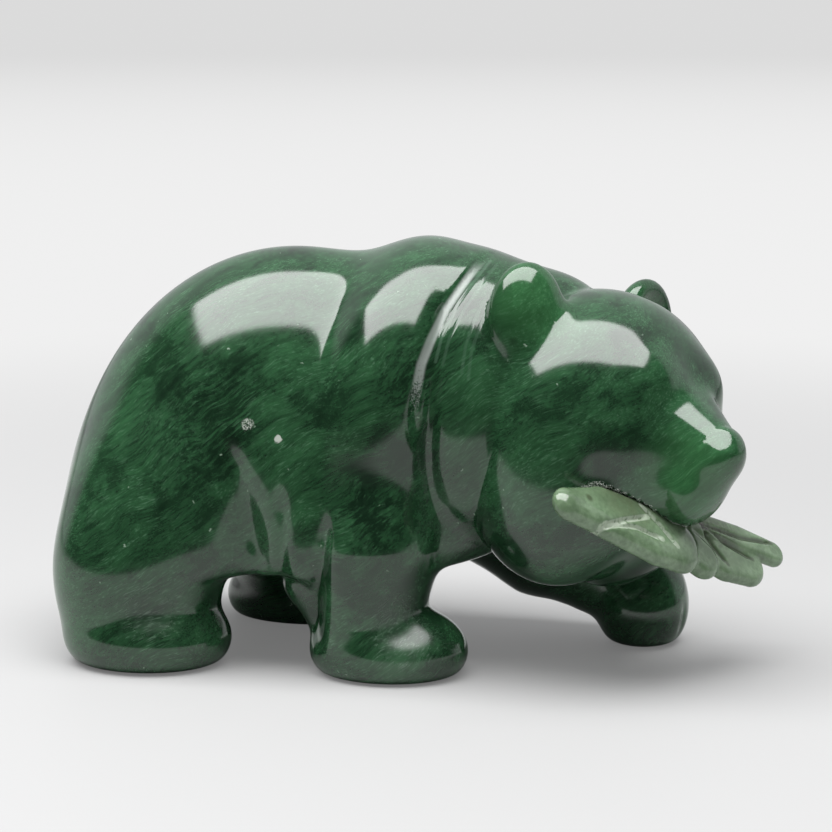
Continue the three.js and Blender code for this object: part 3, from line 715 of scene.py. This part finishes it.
shadows = place.stretch((1, 1, 1), (0.4, 0.2, 0.9)).noise(0.06, 6.0, 0.7).ease(0.5, 0.62)
# Painted dark reflection: nearly black patches on the near side, broken up by the fibres
painted_dark_reflection = patches(place, DARK_REFLECTION_PATCHES) * fibres.ease(0.62, 0.4)
painted_glow_through = patches(place, GLOW_THROUGH_PATCHES)
tone = (swarms * 0.5 + fibres * 0.45 + clouds * 0.3 + hairs * 0.2).ease(0.5, 0.95)
base = tone.blend((0.005, 0.018, 0.008, 1), (0.024, 0.083, 0.034, 1))
threads = (hairs.ease(0.54, 0.72) + felt.ease(0.6, 0.75) * 0.6) * swarms.ease(0.35, 0.62)
base = (threads * 0.6).blend(base, (0.075, 0.155, 0.092, 1))
base = (grit.ease(0.58, 0.8) * 0.3).blend(base, (0.10, 0.16, 0.115, 1))
# Nearly black: the stone's own black patches, and the painted dark reflection on the near side
dark = shadows * 0.6 + painted_dark_reflection * 0.6
base = dark.math("MINIMUM", dark, 0.85).blend(base, (0.003, 0.010, 0.005, 1))
# Painted light: a greener glow added where light would pass through thin stone
base = (painted_glow_through * 0.7).blend(base, base.node("ShaderNodeMix", {"data_type": "RGBA", "blend_type": "ADD"},
                                          {0: 1.0, 6: base, 7: (0.018, 0.070, 0.022, 1)}, output=2))

# %% [markdown]
# ### Specks, pits, dust and painted highlights
#
# Pale specks are the cells of a Voronoi pattern, of which only a few are picked. Their place is
# crumbled by noise first, or they would be round dots. The cut lines on the ruff are finer than the
# skin's cells, so they are a slight bump here. Beside them the groove holds dust and a painted
# highlight, a pale granular band.

# %% Specks and dust
speckle = place.node("ShaderNodeTexNoise", {}, {"Vector": place, "Scale": 2.0}, output=1)
crumbled = place.vector("ADD", place, speckle)
speck_cells = place.node("ShaderNodeTexVoronoi", {"feature": "F1"}, {"Vector": crumbled, "Scale": 0.7})
speck_pick = place.node("ShaderNodeTexVoronoi", {"feature": "F1"},
                        {"Vector": crumbled, "Scale": 0.7}, output=1)
speck_red = place.node("ShaderNodeSeparateColor", {}, {"Color": speck_pick})
specks = speck_cells.ease(0.2, 0.08) * speck_red.ease(0.95, 0.97)
base = (specks * 0.6).blend(base, (0.24, 0.33, 0.25, 1))
ragged = bent.vector("ADD", place, place.noise(1.2, 3.0))
pits = (ragged.away_from(at(-18.1, -24.1, 41.0)).ease(0.75, 0.45)
        + ragged.away_from(at(-23.5, -23.4, 43.1)).ease(1.3, 0.6) * grit.ease(0.45, 0.6))
base = (pits * 0.8).blend(base, (0.42, 0.44, 0.4, 1))
lines = [from_side_line(place, line).ease(0.4, 0.1) for line in NECK_LINES]
cut = lines[0] + lines[1] * 0.6 + (lines[2] + lines[3]) * 0.5
base = (cut * 0.25).blend(base, (0.10, 0.17, 0.12, 1))
side = place.node("ShaderNodeSeparateXYZ", {}, {"Vector": place}, output=1)
height = place.node("ShaderNodeSeparateXYZ", {}, {"Vector": place}, output=2)
# Dust in the groove beside the ruff lines, and a painted highlight: a pale granular band, strongest high
# up, stands in for the light the groove catches
dust_and_painted_highlight = from_side_line(place, RUFF_GROOVE).ease(0.95, 0.35)
dust_and_painted_highlight = dust_and_painted_highlight * (grit * 0.6 + height.ease(38, 62) * 0.45).ease(0.44, 0.56) * side.ease(-2, -8)
base = (dust_and_painted_highlight * 0.6).blend(base, (0.34, 0.37, 0.35, 1))
# Wear on the near toes lifts the roughness; its pale streaks are also a painted dull highlight
wear_and_sheen = patches(place, WEAR_AND_SHEEN_PATCHES)
base = (wear_and_sheen * hairs.ease(0.5, 0.7) * 0.3).blend(base, (0.16, 0.20, 0.17, 1))
grain = fibres * 0.3 + hairs * 0.35 + grit * 0.35 + specks * -1.0
bump = place.node("ShaderNodeBump", {}, {"Strength": 0.12, "Distance": 0.00005, "Height": grain})
bump = place.node("ShaderNodeBump", {},
                  {"Strength": 0.4, "Distance": 0.00012, "Height": 1 - cut, "Normal": bump})
dull = 0.3 * specks + 0.4 * pits + 0.35 * dust_and_painted_highlight + 0.22 * wear_and_sheen
feed(shader, Base_Color=base, Roughness=0.07 + 0.1 * grit + dull, IOR=1.6, Normal=bump)

# %% [markdown]
# ## Pale jade
#
# The fish is a paler, milkier jade. Light soaks into it a little, so it has some scatter, with
# faint white clouds, a brown stain and the brown speck of its eye. Shade along its back and round
# its tail's root, and a glint along the gill cuts, are painted into its colour.

# %% Pale jade
pale_jade, shader, place = new_material("pale_jade")


def on_fish(along, up, out=2.0):
    """A place on the fish, along it and up to its back."""
    return at(*(np.float32((along, up, out)) @ FISH_AXES.T + FISH_MIDDLE))


def from_plate_line(place, line):
    """How far a place is from a line drawn on the fish's plate."""
    return place.away_from_line([on_fish(*spot) for spot in line], FISH_AXES[:, 2].tolist())


clouds = place.noise(0.22, 4.0)
fine = place.noise(1.4, 4.0)
base = (clouds * 0.75 + fine * 0.35).ease(0.35, 0.8).blend((0.08, 0.128, 0.07, 1), (0.18, 0.265, 0.16, 1))
stain = place.away_from(on_fish(-15, 2.0)).ease(9, 1) * clouds.ease(0.35, 0.6)
base = (stain * 0.7).blend(base, (0.075, 0.085, 0.045, 1))
# Painted shade: darker along the back of the fish's front half, where it lies against the cheek
painted_shade_on_back = from_plate_line(place, ((-28, 1.5), (-4, 1.5))).ease(4, 0)
base = (painted_shade_on_back * 0.45).blend(base, (0.06, 0.09, 0.05, 1))
# Painted shade: the tail darkens round its root, under the muzzle, broken up by noise
root = place.away_from(on_fish(8, 0.5)).ease(10, 2) * fine.ease(0.3, 0.6)
base = (root * 0.7).blend(base, (0.045, 0.055, 0.036, 1))
fins = [from_plate_line(place, line).ease(0.6, 0.15) for line in FIN_CUTS[:3]]
base = ((fins[0] + fins[1] + fins[2]) * 0.6).blend(base, (0.018, 0.02, 0.010, 1))
gills = [from_plate_line(place, line).ease(0.7, 0.3) for line in GILL_CUTS]
# Painted highlight: the gill cuts are paler, broken up by noise, as a glint along them; they are also
# rougher
painted_gill_glint = (gills[0] + gills[1] + gills[2]) * fine.ease(0.3, 0.55)
base = (painted_gill_glint * 0.7).blend(base, (0.36, 0.42, 0.33, 1))
eye = place.away_from(on_fish(-24.0, -0.2)).ease(1.1, 0.4)
freckle = place.away_from(on_fish(-16.2, -7.0)).ease(0.7, 0.3)
base = (eye * 0.7 + freckle * 0.6).blend(base, (0.03, 0.035, 0.015, 1))
bump = place.node("ShaderNodeBump", {}, {"Strength": 0.15, "Distance": 0.00005, "Height": fine})
feed(shader, Base_Color=base, Roughness=0.1 + 0.1 * fine + 0.4 * painted_gill_glint, IOR=1.6, Normal=bump,
     Subsurface_Weight=0.25, Subsurface_Scale=0.003, Subsurface_Radius=(0.7, 1.0, 0.6))

bear.data.materials.append(dark_jade)
fish.data.materials.append(pale_jade)

# %% [markdown]
# ## Residue at the bite
#
# Pale residue has dried in the angle where the stone closes on the fish. A ribbon of the bear's own
# skin along that line carries it. Geometry Nodes strew crumbs over the ribbon, each with a size and
# a turn of its own, so the crust is ragged as the real one is and can be made thicker by one number.

# %% Residue
RIBBON_WIDTH = 0.7
SQUARE_MM_PER_M2 = 1e6
CRUMB_LEAST, CRUMB_MOST = (0.25, 0.25, 0.2), (1.0, 0.8, 0.6)
HALF_TURNS = (3.1, 3.1, 3.1)


def bite_ribbon():
    """The faces of the bear's skin that lie along the edge of the seat."""
    mouth = np.abs(seat(bear_points)) < RIBBON_WIDTH
    near = np.flatnonzero(mouth)
    near = near[np.abs(whole_stone(bear_points[near])) < RIBBON_WIDTH]
    number = np.full(len(bear_points), -1)
    number[near] = np.arange(len(near))
    faces = number[bear_quads]
    faces = faces[(faces >= 0).all(1)]
    mesh = bpy.data.meshes.new("bite_ribbon")
    mesh.from_pydata(((bear_points[near] + shift) * MM).tolist(), [], faces.tolist())
    ribbon = bpy.data.objects.new("bite_ribbon", mesh)
    bpy.context.scene.collection.objects.link(ribbon)
    return ribbon


def crumb_tree(inputs):
    """A tree that strews crumbs over a mesh; inputs are its names and socket types."""
    tree = bpy.data.node_groups.new("residue_crumbs", "GeometryNodeTree")
    tree.interface.new_socket("Ribbon", in_out="INPUT", socket_type="NodeSocketGeometry")
    tree.interface.new_socket("Crumbs", in_out="OUTPUT", socket_type="NodeSocketGeometry")
    for name, kind in inputs:
        tree.interface.new_socket(name, in_out="INPUT", socket_type=kind)
    start = tree.nodes.new("NodeGroupInput")
    given = {socket.name: Wire(tree, socket) for socket in start.outputs if socket.name}
    ribbon = given["Ribbon"]
    points = ribbon.node("GeometryNodeDistributePointsOnFaces", {"distribute_method": "RANDOM"},
                         {"Mesh": ribbon, "Seed": given["Seed"],
                          "Density": given["Crumbs per mm2"] * SQUARE_MM_PER_M2})
    crumb = ribbon.node("GeometryNodeMeshIcoSphere", {}, {"Radius": given["Crumb size"], "Subdivisions": 1})
    scale = ribbon.node("FunctionNodeRandomValue", {"data_type": "FLOAT_VECTOR"},
                        {"Min": CRUMB_LEAST, "Max": CRUMB_MOST, "Seed": given["Seed"]})
    turn = ribbon.node("FunctionNodeRandomValue", {"data_type": "FLOAT_VECTOR"},
                       {"Min": (0, 0, 0), "Max": HALF_TURNS, "Seed": given["Seed"]})
    strewn = ribbon.node("GeometryNodeInstanceOnPoints", {},
                         {"Points": points, "Instance": crumb, "Rotation": turn, "Scale": scale})
    solid = ribbon.node("GeometryNodeRealizeInstances", {}, {"Geometry": strewn})
    coated = ribbon.node("GeometryNodeSetMaterial", {}, {"Geometry": solid, "Material": given["Material"]})
    end = tree.nodes.new("NodeGroupOutput")
    tree.links.new(coated.socket, end.inputs["Crumbs"])
    return tree


residue, shader, place = new_material("residue")
pale = place.noise(2.0, 3.0).ease(0.35, 0.6).blend((0.12, 0.15, 0.12, 1), (0.5, 0.52, 0.48, 1))
feed(shader, Base_Color=pale, Roughness=0.85)

ribbon = bite_ribbon()
tree = crumb_tree((("Crumbs per mm2", "NodeSocketFloat"), ("Crumb size", "NodeSocketFloat"),
                   ("Seed", "NodeSocketInt"), ("Material", "NodeSocketMaterial")))
strew = ribbon.modifiers.new("residue", "NODES")
strew.node_group = tree
settings = {"Crumbs per mm2": 40.0, "Crumb size": 0.13 * MM, "Seed": 7, "Material": residue}
for item in tree.interface.items_tree:
    if item.item_type == "SOCKET" and item.in_out == "INPUT" and item.name in settings:
        strew[item.identifier] = settings[item.name]
evaluated = ribbon.evaluated_get(bpy.context.evaluated_depsgraph_get())
crumbs = bpy.data.objects.new("bite_residue", bpy.data.meshes.new_from_object(evaluated))
bpy.context.scene.collection.objects.link(crumbs)
ribbon.modifiers.remove(strew)
bpy.data.objects.remove(ribbon)
print("residue:", len(crumbs.data.polygons), "faces")

# %% [markdown]
# ## The pieces take their places
#
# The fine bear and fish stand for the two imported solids, which stay hidden for the simulation, and
# the residue rides with them.

# %% Bodies
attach(crumbs, "root")
for piece, node, slot in ((bear, "bear", "dark_jade"), (fish, "fish", "pale_jade")):
    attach(piece, "root")
    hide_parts(node)

# %% [markdown]
# ## Camera
#
# The carving was photographed close, from a little above and a little towards its head, with a
# long lens. The distance sets how much larger the near forefoot looks than the far one.

# %% Camera
AZIMUTH, ELEVATION, DISTANCE = 10.0, 10.0, 420.0
TARGET = (0.0, 0.0, 40.6)
SENSOR, LENS = 36.0, 105.4

camera = bpy.data.objects.new("camera", bpy.data.cameras.new("camera"))
bpy.context.scene.collection.objects.link(camera)
bpy.context.scene.camera = camera
turn, rise = math.radians(AZIMUTH), math.radians(ELEVATION)
back = Vector((math.sin(turn) * math.cos(rise), -math.cos(turn) * math.cos(rise), math.sin(rise)))
camera.location = (Vector(at(*TARGET)) + back * DISTANCE) * MM
camera.rotation_euler = (-back).to_track_quat("-Z", "Y").to_euler()
camera.data.sensor_width = SENSOR
camera.data.lens = LENS
camera.data.clip_start = 0.01

# %% [markdown]
# ## Light and floor
#
# Polished stone is mostly a mirror, so the light is built from what it reflects: one large softbox
# overhead, paleness behind, and a floor that is pale only near the bear. Darkness beyond it keeps
# the near flank deep green. To the camera the floor stays pale everywhere.

# %% Studio
NEAR_WHITE, FAR_WHITE = (0.87, 0.87, 0.87, 1), (0.71, 0.71, 0.71, 1)
FLOOR_TONE = (0.40, 0.41, 0.40, 1)
SEEN_FLOOR_TONE = (0.36, 0.36, 0.36, 1)
FLOOR_REACH = 6.0
# In millimetres: where the mirrored floor grows pale, where the glow takes over and where it dims
FLOOR_LIT = (-165, -125)
GLOW_TAKES_OVER, GLOW_DIMS = (70, 420), (500, 4000)
GLOW_LEAST = 0.16
SOFTBOX_SIZE, SOFTBOX_POWER = (0.97, 0.48), 11.4
SOFTBOX_PLACE, SOFTBOX_AIM = (-130, -120, 620), (-130, -120, 0)


def pale_floor():
    floor_mesh = bpy.data.meshes.new("floor")
    corners = [(FLOOR_REACH * x, FLOOR_REACH * y, 0) for x, y in ((-1, -1), (1, -1), (1, 1), (-1, 1))]
    floor_mesh.from_pydata(corners, [], [(0, 1, 2, 3)])
    floor = bpy.data.objects.new("floor", floor_mesh)
    bpy.context.scene.collection.objects.link(floor)
    material, shader, place = new_material("pale_floor")
    lit = place.node("ShaderNodeSeparateXYZ", {}, {"Vector": place}, output=1).ease(*FLOOR_LIT)
    seen = place.node("ShaderNodeLightPath", {}, {})
    mirrored_floor = lit.blend((0.02, 0.02, 0.02, 1), FLOOR_TONE)
    feed(shader, Base_Color=seen.blend(mirrored_floor, SEEN_FLOOR_TONE), Roughness=0.6)
    far_off = place.away_from((0, 0, 0)).ease(*GLOW_TAKES_OVER)
    whiteness = place.away_from((0, 0, 0)).ease(*GLOW_DIMS).blend(NEAR_WHITE, FAR_WHITE)
    glow = place.node("ShaderNodeEmission", {}, {"Color": whiteness})
    glow_share = (GLOW_LEAST + (1 - GLOW_LEAST) * far_off) * seen
    surface = place.node("ShaderNodeMixShader", {}, {0: glow_share, 2: glow})
    place.tree.links.new(shader.outputs[0], surface.socket.node.inputs[1])
    place.tree.links.new(surface.socket, place.tree.nodes["Material Output"].inputs["Surface"])
    floor.data.materials.append(material)


def softbox(name, size, place_mm, aim_mm, power):
    light = bpy.data.objects.new(name, bpy.data.lights.new(name, "AREA"))
    bpy.context.scene.collection.objects.link(light)
    light.data.shape = "RECTANGLE"
    light.data.size, light.data.size_y = size
    light.data.energy = power
    light.location = Vector(place_mm) * MM
    light.rotation_euler = (Vector(aim_mm) - Vector(place_mm)).to_track_quat("-Z", "Y").to_euler()


def studio_air():
    world = bpy.data.worlds.new("studio")
    bpy.context.scene.world = world
    world.use_nodes = True
    tree = world.node_tree
    direction = Wire(tree, tree.nodes.new("ShaderNodeTexCoord").outputs["Generated"])
    backward = direction.node("ShaderNodeSeparateXYZ", {}, {"Vector": direction}, output=1)
    wall = backward.ease(0.05, 0.35)
    mirrored = wall.blend((0.015, 0.015, 0.015, 1), (0.62, 0.63, 0.64, 1))
    seen = direction.node("ShaderNodeLightPath", {}, {})
    soaked = direction.node("ShaderNodeLightPath", {}, {}, output=2)
    colour = soaked.blend(mirrored, (0.5, 0.5, 0.51, 1))
    height = direction.node("ShaderNodeSeparateXYZ", {}, {"Vector": direction}, output=2)
    colour = seen.blend(colour, height.ease(-0.02, 0.12).blend(FAR_WHITE, (0.7, 0.7, 0.71, 1)))
    tree.links.new(colour.socket, tree.nodes["Background"].inputs["Color"])


pale_floor()
softbox("softbox", SOFTBOX_SIZE, SOFTBOX_PLACE, SOFTBOX_AIM, SOFTBOX_POWER)
studio_air()
bpy.context.scene.view_settings.view_transform = "Standard"

# %% [markdown]
# ## Sizes
#
# The finished skin has to fill the same box as the imported solids; here the scene is brought up to date.

# %% Sizes
bpy.context.view_layer.update()
